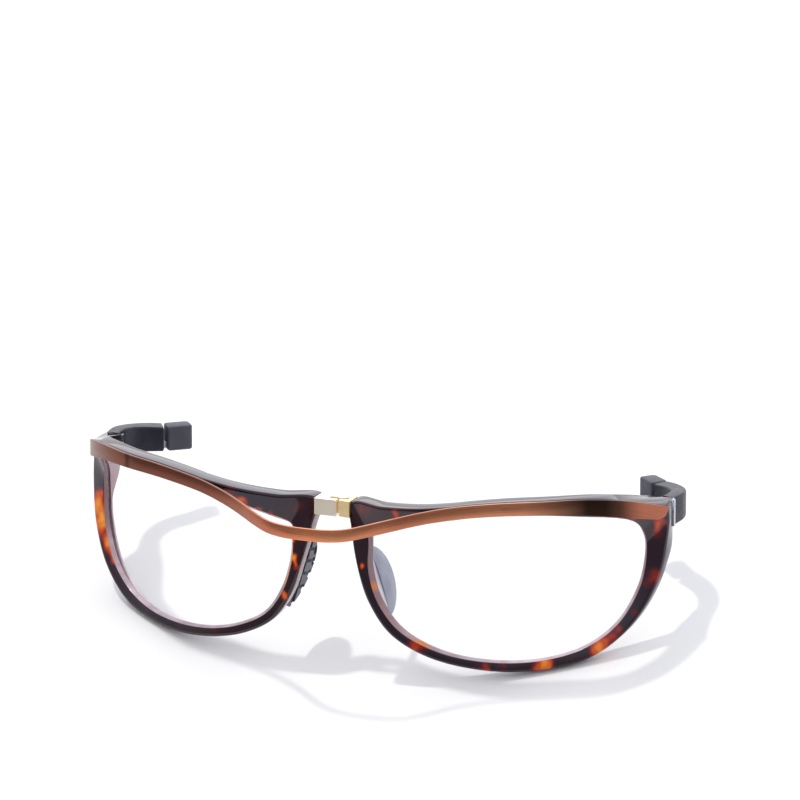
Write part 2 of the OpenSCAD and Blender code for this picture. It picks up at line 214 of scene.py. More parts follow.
class Finish:
    """A procedural material built round one Principled shader."""

    def __init__(self, name, **values):
        self.material = bpy.data.materials.new(name)
        self.material.use_nodes = True
        self.tree = self.material.node_tree
        self.shader = self.tree.nodes["Principled BSDF"]
        for key, value in values.items():
            self.shader.inputs[key.replace("_", " ")].default_value = value
        self.coords = self.add("ShaderNodeTexCoord").outputs["Object"]
        self.warped = self.coords

    def add(self, kind, settings=None, **inputs):
        return add_node(self.tree, kind, settings, **inputs)

    def stretched(self, x, y, z):
        return self.add("ShaderNodeMapping", Vector=self.coords, Scale=(x, y, z)).outputs[0]

    def place(self, axis):
        return self.add("ShaderNodeSeparateXYZ", Vector=self.coords).outputs[axis]

    def noise(self, scale, vector=None, detail=3.0, roughness=0.5, distortion=0.0):
        return self.add("ShaderNodeTexNoise", Vector=vector or self.coords, Scale=scale, Detail=detail,
                        Roughness=roughness, Distortion=distortion).outputs["Fac"]

    def between(self, factor, low, high, at=(0.35, 0.65)):
        return self.add("ShaderNodeMapRange", Value=factor, From_Min=at[0], From_Max=at[1],
                        To_Min=low, To_Max=high).outputs[0]

    def colours(self, factor, stops):
        node = self.add("ShaderNodeValToRGB", Fac=factor)
        elements = node.color_ramp.elements
        while len(elements) < len(stops):
            elements.new(0.5)
        for element, (place, colour) in zip(elements, stops):
            element.position = place
            element.color = (*colour, 1)
        return node.outputs[0]

    def combine(self, a, b, operation="ADD"):
        return self.add("ShaderNodeMath", {"operation": operation}, i0=a, i1=b).outputs[0]

    def mix(self, factor, a, b, blend="MIX"):
        settings = {"data_type": "RGBA", "blend_type": blend}
        return self.add("ShaderNodeMix", settings, i0=factor, i6=a, i7=b).outputs[2]

    def spot(self, centre, radius, strength):
        """A soft patch round a point of the level frame, with its outline moved by warp()."""
        gap = self.add("ShaderNodeVectorMath", {"operation": "DISTANCE"}, i0=self.warped, i1=stand(centre))
        return self.add("ShaderNodeMapRange", {"interpolation_type": "SMOOTHSTEP"},
                        Value=gap.outputs["Value"], From_Min=0.2 * radius * MM, From_Max=1.3 * radius * MM,
                        To_Min=strength, To_Max=0).outputs[0]

    def warp(self, scale, reach):
        """Shifts the patches by up to reach mm, so that their outlines wander."""
        cloud = self.add("ShaderNodeTexNoise", Vector=self.coords, Scale=scale, Detail=1.0).outputs["Color"]
        drift = self.add("ShaderNodeVectorMath", {"operation": "SUBTRACT"}, i0=cloud, i1=(0.5, 0.5, 0.5))
        drift = self.add("ShaderNodeVectorMath", {"operation": "SCALE"},
                         i0=drift.outputs[0], Scale=2 * reach * MM)
        self.warped = self.add("ShaderNodeVectorMath", i0=self.coords, i1=drift.outputs[0]).outputs[0]

    def to(self, **inputs):
        for key, value in inputs.items():
            self.tree.links.new(value, self.shader.inputs[key.replace("_", " ")])
        return self

    def bump(self, height, strength, depth):
        self.to(Normal=self.add("ShaderNodeBump", Height=height, Strength=strength,
                                Distance=depth * MM).outputs[0])
        return self


def rgb(*c):
    """Scene colour of a displayed colour."""
    return tuple(((v / 255 + 0.055) / 1.055) ** 2.4 if v > 10 else v / 255 / 12.92 for v in c)


# Bright patches of the tortoiseshell: place in the level frame, radius in mm and strength
PATCHES = [
    ((-69.3, 24.8, -13), 2.6, 0.3), ((-68.6, 24, -16.4), 2.8, 0.34), ((-67.9, 23, -19.4), 2.4, 0.3),
    ((-64.6, 20.8, -23.6), 2.6, 0.38), ((-63, 19.5, -26.4), 2.2, 0.34), ((-66.5, 22.2, -21.5), 2.4, 0.16),
    ((-38.9, 5.5, -35.7), 3.4, 0.12), ((-30, 2, -35), 2.4, 0.1), ((-11.1, -1.3, -23.4), 1.3, 0.4),
    ((-8.7, -1.3, -14.4), 1.3, 0.46), ((-8.4, -1.2, -16), 1.1, 0.3), ((-9.5, -0.6, -10.6), 1.1, 0.4),
    ((-10, -0.7, -12.6), 1.0, 0.46), ((-10.3, -0.8, -14.6), 1.0, 0.46), ((-10.8, -0.8, -16.8), 1.0, 0.42),
    ((-11.3, -0.8, -19), 1.0, 0.36), ((-20.4, -3.3, -1.8), 2.2, 0.34), ((-17, -2.8, -3.2), 1.4, 0.36),
    ((-14, -2, -4.4), 1.3, 0.3), ((-23.5, -3.6, 0.4), 2.4, 0.2), ((-7, -0.8, -3), 2.4, 0.1),
    ((8.6, -0.6, -2.4), 2.6, 0.16), ((17.2, -3.3, 0), 1.7, 0.24), ((8.1, -1.4, -14.4), 0.9, 0.4),
    ((11.2, -1, -19), 1.2, 0.44), ((11.9, -1, -21.2), 1.2, 0.36), ((20.2, -0.2, -32), 2.2, 0.24),
    ((23, 0.6, -33), 1.8, 0.18), ((36, 4.2, -36.4), 1.8, 0.22), ((39.2, 5.4, -36.6), 1.6, 0.2),
    ((49.2, 9.8, -36.2), 2.0, 0.36), ((47, 8.8, -36.5), 1.9, 0.26), ((58.4, 15.3, -33.2), 2.3, 0.34),
    ((60.4, 16.7, -31.6), 2.4, 0.3), ((62.8, 18.4, -29.2), 2, 0.18), ((66.3, 20.8, -25.3), 2.4, 0.14),
    ((69, 24.1, -16.7), 2.6, 0.17), ((70, 26, -4.4), 2.2, 0.32), ((69.4, 25.6, -7), 2.2, 0.2),
    ((66, 19, -2), 2, 0.24), ((63.8, 15.2, -1), 1.3, 0.42), ((50, 2, 1.4), 2, 0.26),
    ((46, 0.6, 1.4), 1.6, 0.2),
]
acetate = Finish("tortoiseshell_acetate", IOR=1.5, Specular_IOR_Level=0.6)
acetate.warp(230, 1.5)
shade = acetate.between(acetate.noise(110, detail=2, distortion=0.8), 0.28, 0.58, (0.25, 0.8))
for centre, radius, strength in PATCHES:
    shade = acetate.combine(shade, acetate.spot(centre, radius, strength))
shade = acetate.combine(shade, acetate.between(acetate.noise(500, detail=2), -0.015, 0.015))
acetate.to(
    Base_Color=acetate.colours(shade, (
        (0.0, rgb(18, 9, 18)), (0.48, rgb(36, 16, 26)), (0.57, rgb(84, 14, 18)),
        (0.66, rgb(156, 36, 8)), (0.76, rgb(214, 88, 10)), (0.92, rgb(250, 160, 44)))),
    Specular_Tint=acetate.colours(acetate.noise(45, detail=1), (
        (0.35, (1.0, 0.82, 0.8)), (0.65, (0.84, 0.86, 1.0)))),
    Roughness=acetate.between(acetate.noise(900), 0.05, 0.1),
)

# Where the polished edge round the opening glows amber: place in the level frame and radius in mm
AMBER_EDGES = [
    ((-10, -0.7, -10.4), 2.4), ((-10.2, -0.8, -13.4), 2.4), ((-10.6, -1, -16.4), 2.4),
    ((-11.6, -1, -19.6), 2.2), ((-13, -1.5, -5.8), 1.8), ((-20, -2.8, -3.3), 2.6), ((46, 0.6, 1.2), 3.4),
    ((51, 2.1, 1.1), 3.4), ((62, 12, -0.6), 3), ((11.2, -1, -19), 1.6), ((22.4, 0.3, -31.7), 2.4),
]
polished = Finish("acetate_edge", IOR=1.5)
polished.warp(200, 1.0)
# Painted reflection: the edge is painted pale lilac near the floor, where the lower walls face up to the
# bright room, brownish pink higher up and greyish lilac at the top, with a little noise
edge_painted_reflection = polished.combine(polished.between(polished.place("Z"), 0, 0.86, (0.002, 0.05)),
                                 polished.between(polished.noise(260), -0.07, 0.07))
amber = polished.spot(*AMBER_EDGES[0], 1.0)
for centre, radius in AMBER_EDGES[1:]:
    amber = polished.combine(amber, polished.spot(centre, radius, 1.0), "MAXIMUM")
edge_colour_with_painted_reflection = polished.colours(edge_painted_reflection, (
    (0.0, rgb(200, 182, 192)), (0.14, rgb(172, 146, 154)), (0.3, rgb(146, 114, 118)),
    (0.6, rgb(132, 106, 114)), (0.85, rgb(122, 118, 138)), (1.0, rgb(126, 126, 148))))
polished.to(
    Base_Color=polished.mix(amber, edge_colour_with_painted_reflection, (*rgb(216, 128, 66), 1)),
    Roughness=polished.between(polished.noise(700), 0.12, 0.22),
)

clear = Finish("lens_clear", Base_Color=(0.97, 0.97, 0.99, 1), Roughness=0.02, IOR=1.5)
clear.to(
    Alpha=clear.between(clear.noise(60), 0.015, 0.03),
    Roughness=clear.between(clear.noise(300), 0.015, 0.03),
)

lens_rim = Finish("lens_edge", IOR=1.5)
lens_rim.to(
    Base_Color=lens_rim.colours(lens_rim.noise(150), (
        (0.4, rgb(124, 108, 118)), (0.6, rgb(150, 134, 146)))),
    Roughness=lens_rim.between(lens_rim.noise(800), 0.2, 0.35),
)

copper = Finish("brushed_copper", Metallic=1.0)
along = copper.add("ShaderNodeUVMap", {"uv_map": "along"}).outputs[0]
brushed = copper.add("ShaderNodeMapping", Vector=along, Scale=(0.12, 9.0, 1.0)).outputs[0]
grain = copper.noise(1.0, brushed, detail=5)
# Painted reflections along the bar, from its left end to its right end: the lighter and darker bands of the
# room that the copper mirrors
bar_painted_reflections = copper.colours(copper.between(copper.place("X"), 0, 1, (-0.072, 0.072)), (
    (0.0, rgb(84, 51, 43)), (0.06, rgb(108, 65, 54)), (0.139, rgb(112, 67, 56)),
    (0.146, rgb(58, 35, 29)), (0.153, rgb(110, 66, 55)), (0.3, rgb(120, 72, 60)),
    (0.37, rgb(144, 88, 71)), (0.44, rgb(176, 105, 83)), (0.5, rgb(212, 130, 94)),
    (0.55, rgb(200, 128, 97)), (0.64, rgb(172, 104, 80)), (0.7, rgb(174, 108, 82)),
    (0.77, rgb(188, 122, 94)), (0.83, rgb(188, 122, 96)), (0.885, rgb(112, 74, 60)),
    (0.915, rgb(38, 25, 21)), (0.938, rgb(36, 23, 19)), (0.955, rgb(70, 44, 37)),
    (0.975, rgb(150, 89, 72)), (1.0, rgb(158, 93, 74))))
shine = copper.colours(grain, ((0.35, (0.98, 1.03, 0.95)), (0.65, (1.24, 1.3, 1.2))))
copper.to(Base_Color=copper.mix(1.0, bar_painted_reflections, shine, "MULTIPLY"), Roughness=copper.between(grain, 0.26, 0.38))
copper.bump(grain, 0.12, 0.02)


def bright_gold(name, low, high):
    gold = Finish(name, Metallic=0.55)
    haze = gold.noise(500, gold.stretched(1, 1, 3))
    gold.to(
        Base_Color=gold.colours(gold.noise(220), ((0.4, rgb(*low)), (0.6, rgb(*high)))),
        Roughness=gold.between(haze, 0.1, 0.2),
    )
    return gold


pale_gold = bright_gold("pale_gold", (252, 238, 210), (255, 247, 228))
warm_gold = bright_gold("warm_gold", (250, 214, 152), (255, 228, 176))

steel = Finish("steel", Metallic=1.0)
steel.to(
    Base_Color=steel.colours(steel.noise(300), ((0.4, rgb(160, 160, 166)), (0.6, rgb(200, 200, 206)))),
    Roughness=steel.between(steel.noise(700, steel.stretched(1, 1, 6)), 0.22, 0.4),
)

# Painted shade: a hinge plate is bright on its outer end and painted darker towards its lobes, where it sits
# between the end piece and the temple
silver = Finish("hinge_silver", Metallic=0.4)
plate_x = silver.add("ShaderNodeMath", {"operation": "ABSOLUTE"}, i0=silver.place("X")).outputs[0]
plate_tone_and_painted_shade = silver.combine(silver.between(silver.noise(260), -0.03, 0.03),
                            silver.between(plate_x, 0, 1, (0.0685, 0.0705)))
silver.to(
    Base_Color=silver.colours(plate_tone_and_painted_shade, ((0.1, rgb(78, 78, 88)), (0.8, rgb(214, 216, 228)))),
    Roughness=silver.between(silver.noise(800, silver.stretched(1, 1, 8)), 0.18, 0.32),
)

charcoal = Finish("temple_charcoal", IOR=1.5, Specular_IOR_Level=0.3)
charcoal.to(
    Base_Color=charcoal.colours(charcoal.noise(160), ((0.4, rgb(25, 26, 36)), (0.6, rgb(36, 37, 50)))),
    Roughness=charcoal.between(charcoal.noise(1200), 0.3, 0.42),
).bump(charcoal.noise(4000), 0.1, 0.02)

tip = Finish("tip_rubber", IOR=1.48, Specular_IOR_Level=0.35)
tip.to(
    Base_Color=tip.colours(tip.noise(200), ((0.4, rgb(70, 70, 80)), (0.6, rgb(82, 82, 92)))),
    Roughness=tip.between(tip.noise(1500), 0.5, 0.66),
).bump(tip.noise(5000), 0.15, 0.03)

rubber = Finish("nose_rubber", IOR=1.45, Subsurface_Weight=0.1, Subsurface_Scale=0.001)
rubber.to(
    Base_Color=rubber.colours(rubber.noise(180), ((0.4, rgb(132, 137, 153)), (0.6, rgb(148, 153, 168)))),
    Roughness=rubber.between(rubber.noise(1500), 0.45, 0.62),
).bump(rubber.noise(5000), 0.15, 0.03)

tread = Finish("tread_rubber", IOR=1.45, Specular_IOR_Level=0.3)
tread.to(
    Base_Color=tread.colours(tread.noise(180), ((0.4, rgb(92, 93, 107)), (0.6, rgb(108, 109, 122)))),
    Roughness=tread.between(tread.noise(1500), 0.5, 0.66),
)

# Painted shade: the nose pads' tread grooves are painted near-black, for the shade that falls into them
groove_painted_shade = Finish("groove_painted_shade", IOR=1.45)
groove_painted_shade.to(
    Base_Color=groove_painted_shade.colours(groove_painted_shade.noise(400), (
        (0.4, rgb(22, 20, 26)), (0.6, rgb(34, 32, 38)))),
    Roughness=groove_painted_shade.between(groove_painted_shade.noise(1500), 0.5, 0.7),
)

pale = Finish("clip_plastic", IOR=1.46)
pale.to(
    Base_Color=pale.colours(pale.noise(200), ((0.4, rgb(196, 190, 204)), (0.6, rgb(214, 208, 220)))),
    Roughness=pale.between(pale.noise(1200), 0.3, 0.45),
)

paper = Finish("floor_white", Specular_IOR_Level=0.1)
paper.to(
    Base_Color=paper.colours(paper.noise(20), ((0.4, (0.90, 0.90, 0.91)), (0.6, (0.92, 0.92, 0.93)))),
    Roughness=paper.between(paper.noise(600), 0.8, 0.95),
)


def dress(obj, slot, body, *finishes, stands_for=()):
    for finish in finishes:
        obj.data.materials.append(finish.material)
    if body:
        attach(obj, body)
    if stands_for:
        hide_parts(*stands_for)
    return obj


# ---- shapes of the rims, the lenses and the bar ----

# The control points are those of the CAD source. The brow starts closer to the bar than there.
BAR_THICK, BROW_GAP = 0.7, 0.02
# Top front edge of the spring bar from its middle to its end, and its height there
BAR_LINE = [
    (0, -16.3, -2.3, 2.9), (5, -16.2, -2.2, 2.9), (9.6, -15.2, -1.8, 2.9),
    (14, -13, -0.9, 2.9), (18.6, -10, 0.1, 2.9), (24, -7.3, 1.4, 2.9), (31, -5, 2.9, 2.9),
    (41, -2.6, 4.3, 3), (51, 0.3, 5.1, 3.2), (59.4, 6, 5, 3.6), (66.4, 14.6, 3.2, 4),
    (71.8, 26.3, -0.6, 3.3),
]
# The brow lies against the bar from this point of BAR_LINE to its end.
BROW_START = 6
# Outer front edge of the right rim: above the bridge, and then from the brow's end round to the nose
BRIDGE_SIDE = [(4.4, 0.6, -0.2), (13, -2.6, 0.5), (22, -4.3, 1.5)]
LOWER_SIDE = [
    (71.4, 26.4, -10), (69.6, 23.6, -19.6), (65.2, 19.4, -28.2), (58, 14.6, -34.7),
    (49, 9.6, -37.4), (39.5, 5.2, -37.9), (30, 1.6, -36.6), (21.5, -0.2, -34.1),
    (14.3, -1, -29.8), (9.6, -1.6, -23), (7, -1.8, -15.4), (5, -0.6, -7),
]
# Front edge of the lens opening, with one point for each point of the outer edge
OPENING = [
    (10.2, -0.8, -6.9), (14.6, -1.9, -5.2), (22, -3, -3), (31, -3, -0.8), (41, -0.6, 0.8),
    (50, 1.8, 1.1), (57.6, 6.6, 0.4), (65.2, 17.4, -2.4), (66.7, 22.8, -6.8), (66.8, 23.6, -12.4),
    (65.6, 22, -19.6), (61.9, 18.8, -27.2), (56, 14.6, -32.3), (48.4, 9.9, -34.8),
    (39.5, 5.8, -35.4), (30.2, 2.1, -34.2), (22.4, 0.3, -31.7), (16.4, -0.4, -28),
    (12.4, -1, -22), (10.4, -1, -15.6), (10, -0.7, -10.4),
]
# Width of the bevel round the front of the opening, at each of its points
BEVELS = [
    0.7, 0.8, 0.9, 0.6, 0.4, 0.4, 0.4, 0.6, 0.8, 0.9, 0.9,
    0.8, 0.5, 0.35, 0.35, 0.35, 0.4, 0.6, 0.9, 0.9, 0.8,
]
# How far the back of the opening is cut back behind its front, at each of its points
UNDERCUTS = [1.2, 0.6, 0, 0, 0, 0, 0, 0, 0, 0, 0, 0.3, 0.7, 0.9, 0.9, 0.9, 0.9, 1, 1.2, 1.3, 1.3]
BROW_DEPTH, RIM_DEPTH = 5.2, 3.8
# Heights between which the rim's depth grows to the brow's
BROW_FROM, BROW_FULL = -14, -2
LENS_THICK, LENS_SEAT, LENS_BULGE, LENS_LIP = 1.6, 0.7, 5, 0.1
GROOVE_FRONT, GROOVE_LIP, SEAT_GAP = 1.1, 0.7, 0.05
# Flat back face of the end piece, and where across and up the rim grows back to it
END_FACE_Y, END_TOP, END_X = 32.1, -0.3, 70.75
END_FROM, END_FULL, END_LOW, END_HIGH = 62, 67, -15, -8
# Rounding of the rim's corners. The outer back one is sharper on the end piece.
FRONT_ROUND, BEVEL_ROUND, INNER_ROUND, BACK_ROUND, END_SHARPER = 0.8, 0.3, 0.4, 0.9, 0.7
Y = np.array([0.0, 1.0, 0.0])

bar_curve = open_curve([(-x, y, z, h) for x, y, z, h in BAR_LINE[:0:-1]] + BAR_LINE)
brow_first = (len(BAR_LINE) - 1 + BROW_START) * STEPS
brow_length = (len(BAR_LINE) - 1 - BROW_START) * STEPS


def brow_edge(k):
    """The rim's top front edge behind the bar, k points from where the brow meets it."""
    i = brow_first + k
    return bar_curve[i][:3] + (BAR_THICK + BROW_GAP) * across(bar_curve, i)


brow_side = [brow_edge(k) for k in range(0, brow_length + 1, STEPS)]
rim_edge = closed_curve(BRIDGE_SIDE + brow_side + LOWER_SIDE)
brow_from = len(BRIDGE_SIDE) * STEPS
for k in range(brow_length + 1):
    rim_edge[brow_from + k] = brow_edge(k)
opening = closed_curve(OPENING)
bevel, undercut = ([w[0] for w in closed_curve([[w] for w in widths])] for widths in (BEVELS, UNDERCUTS))
rim_in = [unit(b - a) for a, b in zip(rim_edge, opening)]
STATIONS = len(rim_edge)


def rim_back(p):
    """The back of the rim behind a front point, and how far it belongs to the end piece."""
    depth = RIM_DEPTH + (BROW_DEPTH - RIM_DEPTH) * ramp(p[2], BROW_FROM, BROW_FULL)
    end_piece = ramp(p[0], END_FROM, END_FULL) * ramp(p[2], END_LOW, END_HIGH)
    plain = p + depth * Y
    flat = np.array([min(p[0], END_X), END_FACE_Y, min(p[2], END_TOP)])
    return plain + end_piece * (flat - plain), end_piece


def rim_section(i):
    """Outline across the rim: front, bevel, opening with the lens groove, and back."""
    outer, inner, inward = rim_edge[i], opening[i], rim_in[i]
    (outer_back, end_piece), (inner_back, _) = rim_back(outer), rim_back(inner)
    groove_front = inner + GROOVE_FRONT * Y
    groove_back = inner + (GROOVE_FRONT + LENS_THICK + 2 * SEAT_GAP) * Y
    groove_depth = (LENS_SEAT + SEAT_GAP) * inward
    corners = [
        outer, inner - bevel[i] * inward,
        groove_front, groove_front - groove_depth, groove_back - groove_depth,
        groove_back - min(GROOVE_LIP, undercut[i]) * inward,
        inner_back - undercut[i] * inward, outer_back,
    ]
    back_round = BACK_ROUND - END_SHARPER * end_piece
    return rounded(corners, [FRONT_ROUND, BEVEL_ROUND, 0, 0, 0, 0, INNER_ROUND, back_round])


# Faces of a section on the opening's bevel and walls, and on its outer side from the back corner on
OPENING_FACES, OUTER_FACE = range(7, 18), 22
# The rim's outer side faces the nose from this section on.
NOSE_SIDE = 17 * STEPS


def rim(side, name, body):
    sections = [rim_section(i) for i in range(STATIONS)]
    points = [p for s in sections for p in s]
    # The opening's bevel and walls and the wall beside the nose take the acetate's edge material, with its
    # painted reflection.
    m = len(sections[0])
    slots = [int(j in OPENING_FACES or (j >= OUTER_FACE and i > NOSE_SIDE))
             for i in range(STATIONS) for j in range(m)]
    faces = [f[::-1] for f in strip_faces(STATIONS, m, True)]
    obj = make(f"{name}_finished", points, faces, side, slots=slots)
    return dress(obj, "rim_acetate", body, acetate, polished, stands_for=[name])


lens_edge = [opening[i] + (GROOVE_FRONT + SEAT_GAP) * Y - LENS_SEAT * rim_in[i] for i in range(STATIONS)]
lens_lip = [lens_edge[i] + (LENS_SEAT + LENS_LIP) * rim_in[i] for i in range(STATIONS)]
lens_middle = sum(lens_lip) / STATIONS
lens_axis = unit([-0.42, 0.9, 0.1])
LENS_RINGS = 14


def lens_point(i, s):
    """A point of the bulged front, from the lens's middle at s = 0 to its lip at s = 1."""
    v = lens_lip[i] - lens_middle
    off = (v @ lens_axis) * lens_axis
    return lens_middle + s * (v - off) + s * s * off - (1 - s * s) * LENS_BULGE * lens_axis


def lens(side, name, body):
    n = STATIONS
    front = lens_edge + [lens_point(i, 1 - r / LENS_RINGS) for r in range(LENS_RINGS) for i in range(n)]
    front.append(lens_point(0, 0))
    m = len(front)
    faces = []
    for r in range(LENS_RINGS):
        for j in range(n):
            k = (j + 1) % n
            faces.append((r * n + j, (r + 1) * n + j, (r + 1) * n + k, r * n + k))
    faces += [(LENS_RINGS * n + j, m - 1, LENS_RINGS * n + (j + 1) % n) for j in range(n)]
    back = [tuple(v + m for v in f[::-1]) for f in faces]
    wall = [(j, (j + 1) % n, m + (j + 1) % n, m + j) for j in range(n)]
    points = front + [p + LENS_THICK * Y for p in front]
    slots = [0] * (len(faces) + len(back)) + [1] * len(wall)
    obj = make(f"{name}_finished", points, faces + back + wall, side, slots=slots)
    return dress(obj, "lens", body, clear, lens_rim, stands_for=[name])


# ---- spring bar ----

BAR_END_HEIGHT, BAR_END_CUT, BAR_ROUND = 0.9, 4.2, 0.1


def bar_height(i):
    """The lower corner at each end is cut off along a curve."""
    last = len(bar_curve) - 1
    p, end = bar_curve[i], bar_curve[0 if i < last / 2 else last]
    s = max(0.0, 1 - np.linalg.norm((p - end)[:3]) / BAR_END_CUT)
    return BAR_END_HEIGHT + (p[3] - BAR_END_HEIGHT) * math.sqrt(max(0.0, 1 - s * s))


def bar_section(i):
    p, n = bar_curve[i][:3], BAR_THICK * across(bar_curve, i)
    h = np.array([0, 0, bar_height(i)])
    return rounded([p, p - h, p - h + n, p + n], [BAR_ROUND] * 4, 2)


def front_bar():
    sections = [bar_section(i) for i in range(len(bar_curve))]
    points, uv = [], []
    run = 0.0
    for i, section in enumerate(sections):
        run += np.linalg.norm((bar_curve[i] - bar_curve[max(i - 1, 0)])[:3])
        round_it = 0.0
        for j, p in enumerate(section):
            round_it += np.linalg.norm(p - section[j - 1]) if j else 0.0
            points.append(p)
            uv.append((run, round_it))
    faces = [f[::-1] for f in strip_faces(len(sections), len(sections[0]), False)]
    obj = make("front_bar_finished", points, faces, uv=uv)
    dress(obj, "copper_bar", None, copper, stands_for=["front_bar"])
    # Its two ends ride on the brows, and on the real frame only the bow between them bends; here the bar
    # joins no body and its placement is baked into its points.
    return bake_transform(obj)


# ---- nose pads ----

NOSE_POS = np.array([9.3, 3.4, -19.6])
NOSE_TURN = (Matrix.Rotation(math.radians(-18), 3, "Y") @ Matrix.Rotation(math.radians(-1.5), 3, "Z")
             @ Matrix.Rotation(math.radians(90), 3, "X") @ Matrix.Rotation(math.radians(90), 3, "Y"))
PAD_R, PAD_THICK, THIN_EDGE = 8.6, 1.8, 0.3
PAD_COLUMNS, PAD_ROWS = 44, 110
TREADS, TREAD_PITCH, TREAD_FALL, TREAD_X, GROOVE_DEPTH = 5, 3.25, 3.0, 1.15, 0.35
# Half widths of a groove: down the front edge, along the slant and in the notch at the rear
FRONT_CUT, SLANT_CUT, NOTCH_CUT = 1.3, 0.3, 0.7


def gap_to(p, a, b):
    """Distance from p to the line between a and b."""
    d = b - a
    t = min(1.0, max(0.0, float((p - a) @ d) / float(d @ d)))
    return float(np.linalg.norm(p - a - t * d))


def treads():
    """Each groove runs down the front edge, slants back and ends in a notch at the rear edge."""
    out = []
    for k in range(TREADS):
        y = PAD_R - 1.2 - k * TREAD_PITCH
        low = max(y - TREAD_FALL, 0.5 - PAD_R)
        rear = math.sqrt(PAD_R**2 - low**2)
        a, b = np.array([TREAD_X, y + 0.2]), np.array([TREAD_X, y - 1.2])
        c, d = np.array([max(rear - 1.4, 1.2), low + 0.3]), np.array([max(rear - 0.6, 1.2), low - 0.7])
        out += [(a, b, FRONT_CUT), (b, c, SLANT_CUT), (c, d, NOTCH_CUT)]
    return out


def nose_pad(side, name, body):
    cuts = treads()
    points, dark = [], []
    for sheet in (0, 1):
        for j in range(PAD_ROWS + 1):
            y = PAD_R * math.sin(math.pi / 2 * (2 * j / PAD_ROWS - 1)) * 0.999
            rear = math.sqrt(PAD_R**2 - y * y)
            for i in range(PAD_COLUMNS + 1):
                x = rear * (i / PAD_COLUMNS)
                # Flat towards the nose, and domed on the other side down to a thin rear edge
                crown = math.sqrt(max(0.0, 1 - (x * x + y * y) / PAD_R**2))
                dome = PAD_THICK * (THIN_EDGE + (1 - THIN_EDGE) * crown)
                groove = sheet == 0 and any(gap_to(np.array([x, y]), a, b) < w for a, b, w in cuts)
                z = dome if sheet else (GROOVE_DEPTH if groove else 0.0)
                dark.append(groove)
                points.append(NOSE_POS + np.array(NOSE_TURN @ Vector((x, y, z))))
    row = PAD_COLUMNS + 1
    count = row * (PAD_ROWS + 1)
    faces, slots = [], []
    for sheet in (0, 1):
        for j in range(PAD_ROWS):
            for i in range(PAD_COLUMNS):
                a = sheet * count + j * row + i
                quad = (a, a + row, a + row + 1, a + 1)
                faces.append(quad if sheet == 0 else quad[::-1])
                # Faces on a groove get the near-black painted shade; the rest of the nose side gets the
                # tread rubber and the domed side the nose rubber
                slots.append(1 if any(dark[v] for v in quad) else 2 - 2 * sheet)
    rows, last, top = range(PAD_ROWS), PAD_COLUMNS, PAD_ROWS * row
    walls = [(j * row, count + j * row, count + (j + 1) * row, (j + 1) * row) for j in rows]
    walls += [(j * row + last, (j + 1) * row + last, count + (j + 1) * row + last, count + j * row + last)
              for j in rows]
    walls += [(i, i + 1, count + i + 1, count + i) for i in range(PAD_COLUMNS)]
    walls += [(top + i, count + top + i, count + top + i + 1, top + i + 1) for i in range(PAD_COLUMNS)]
    obj = make(f"{name}_finished", points, faces + walls, side, sharp=50, slots=slots + [0] * len(walls))
    return dress(obj, "nose_rubber", body, rubber, groove_painted_shade, tread, stands_for=[name])


# ---- temples ----

# At its hinge the visible temple is 0.3 mm thinner than the CAD one, on its outer side.
TEMPLE_H, TIP_H, HINGE_W, TEMPLE_W = 6.8, 5.8, 3.1, 4.4
TEMPLE_LINE = [
    (69.25, 33.1, -0.3), (69.6, 37.6, -0.4), (68.4, 41.4, -0.8), (65.7, 44.3, -1.1), (62.3, 46.4, -1.4),
]
TEMPLE_ROUND, TEMPLE_CHAMFER, TEMPLE_FORWARD = 0.6, 0.35, 0.25
HINGE_X, HINGE_Y, HINGE_R, HINGE_TOP, HINGE_BOTTOM, MOVE_GAP = 68.2, 34.2, 1.2, -1, -6.1, 0.3
TIP_HEADING = math.radians(50)
TIP_RUN = np.array([-math.sin(TIP_HEADING), math.cos(TIP_HEADING), 0])
TIP_LEN, TIP_END_GAP, TIP_OVERHANG, TIP_R = 6, 0.7, 1.2, 1.1
TIP_NARROWER, TIP_NEAR_ROUND, TIP_FAR_ROUND, TIP_EDGE_ROUND = 0.2, 0.6, 1.1, 0.4
TIP_LOBE_TOP, TIP_LOBE, LOBE_GAP = -5.2, 1.6, 0.15
temple_curve = open_curve(TEMPLE_LINE)
TIP_JOINT = temple_curve[-1] + (TIP_END_GAP + TIP_OVERHANG) * TIP_RUN
TIP_TURN = Matrix.Rotation(math.radians(90) + TIP_HEADING, 3, "Z")


def at_tip(p):
    return TIP_JOINT + np.array(TIP_TURN @ Vector(p))


def temple(side, name, body):
    last = len(temple_curve) - 1
    sections = []
    for i, p in enumerate(temple_curve):
        n = -across(temple_curve, i) * (HINGE_W + (TEMPLE_W - HINGE_W) * ramp(i, 0, last)) / 2
        height = TEMPLE_H + (TIP_H - TEMPLE_H) * i / last
        low = np.array([0, 0, -height])
        sections.append(rounded([p + n, p + n + low, p - n + low, p - n], [TEMPLE_ROUND] * 4))
    # It starts close to the hinge plate.
    sections.insert(0, [p - TEMPLE_FORWARD * Y for p in sections[0]])
    # The end that faces the tip pad is chamfered.
    end = sections[-1]
    centre = sum(end) / len(end)
    sections[-1] = [p - TEMPLE_CHAMFER * TIP_RUN for p in end]
    sections.append([centre + (p - centre) * (1 - TEMPLE_CHAMFER / np.linalg.norm(p - centre)) for p in end])
    points = [p for s in sections for p in s]
    faces = [f[::-1] for f in strip_faces(len(sections), len(sections[0]), False)]
    obj = make(f"{name}_finished", points, faces, side)
    # Room for the hinge's lobes, open to the front and the inner side
    room_top, room_low = HINGE_TOP + MOVE_GAP, HINGE_BOTTOM - MOVE_GAP
    for outline in (disc(HINGE_X, HINGE_Y, HINGE_R + MOVE_GAP),
                    block(HINGE_X - 3, HINGE_Y - 2, HINGE_X + HINGE_R + MOVE_GAP, HINGE_Y)):
        cut(obj, make("cutter", *prism(outline, room_low, room_top), side))
    return dress(obj, "temple_plastic", body, charcoal, stands_for=[name])


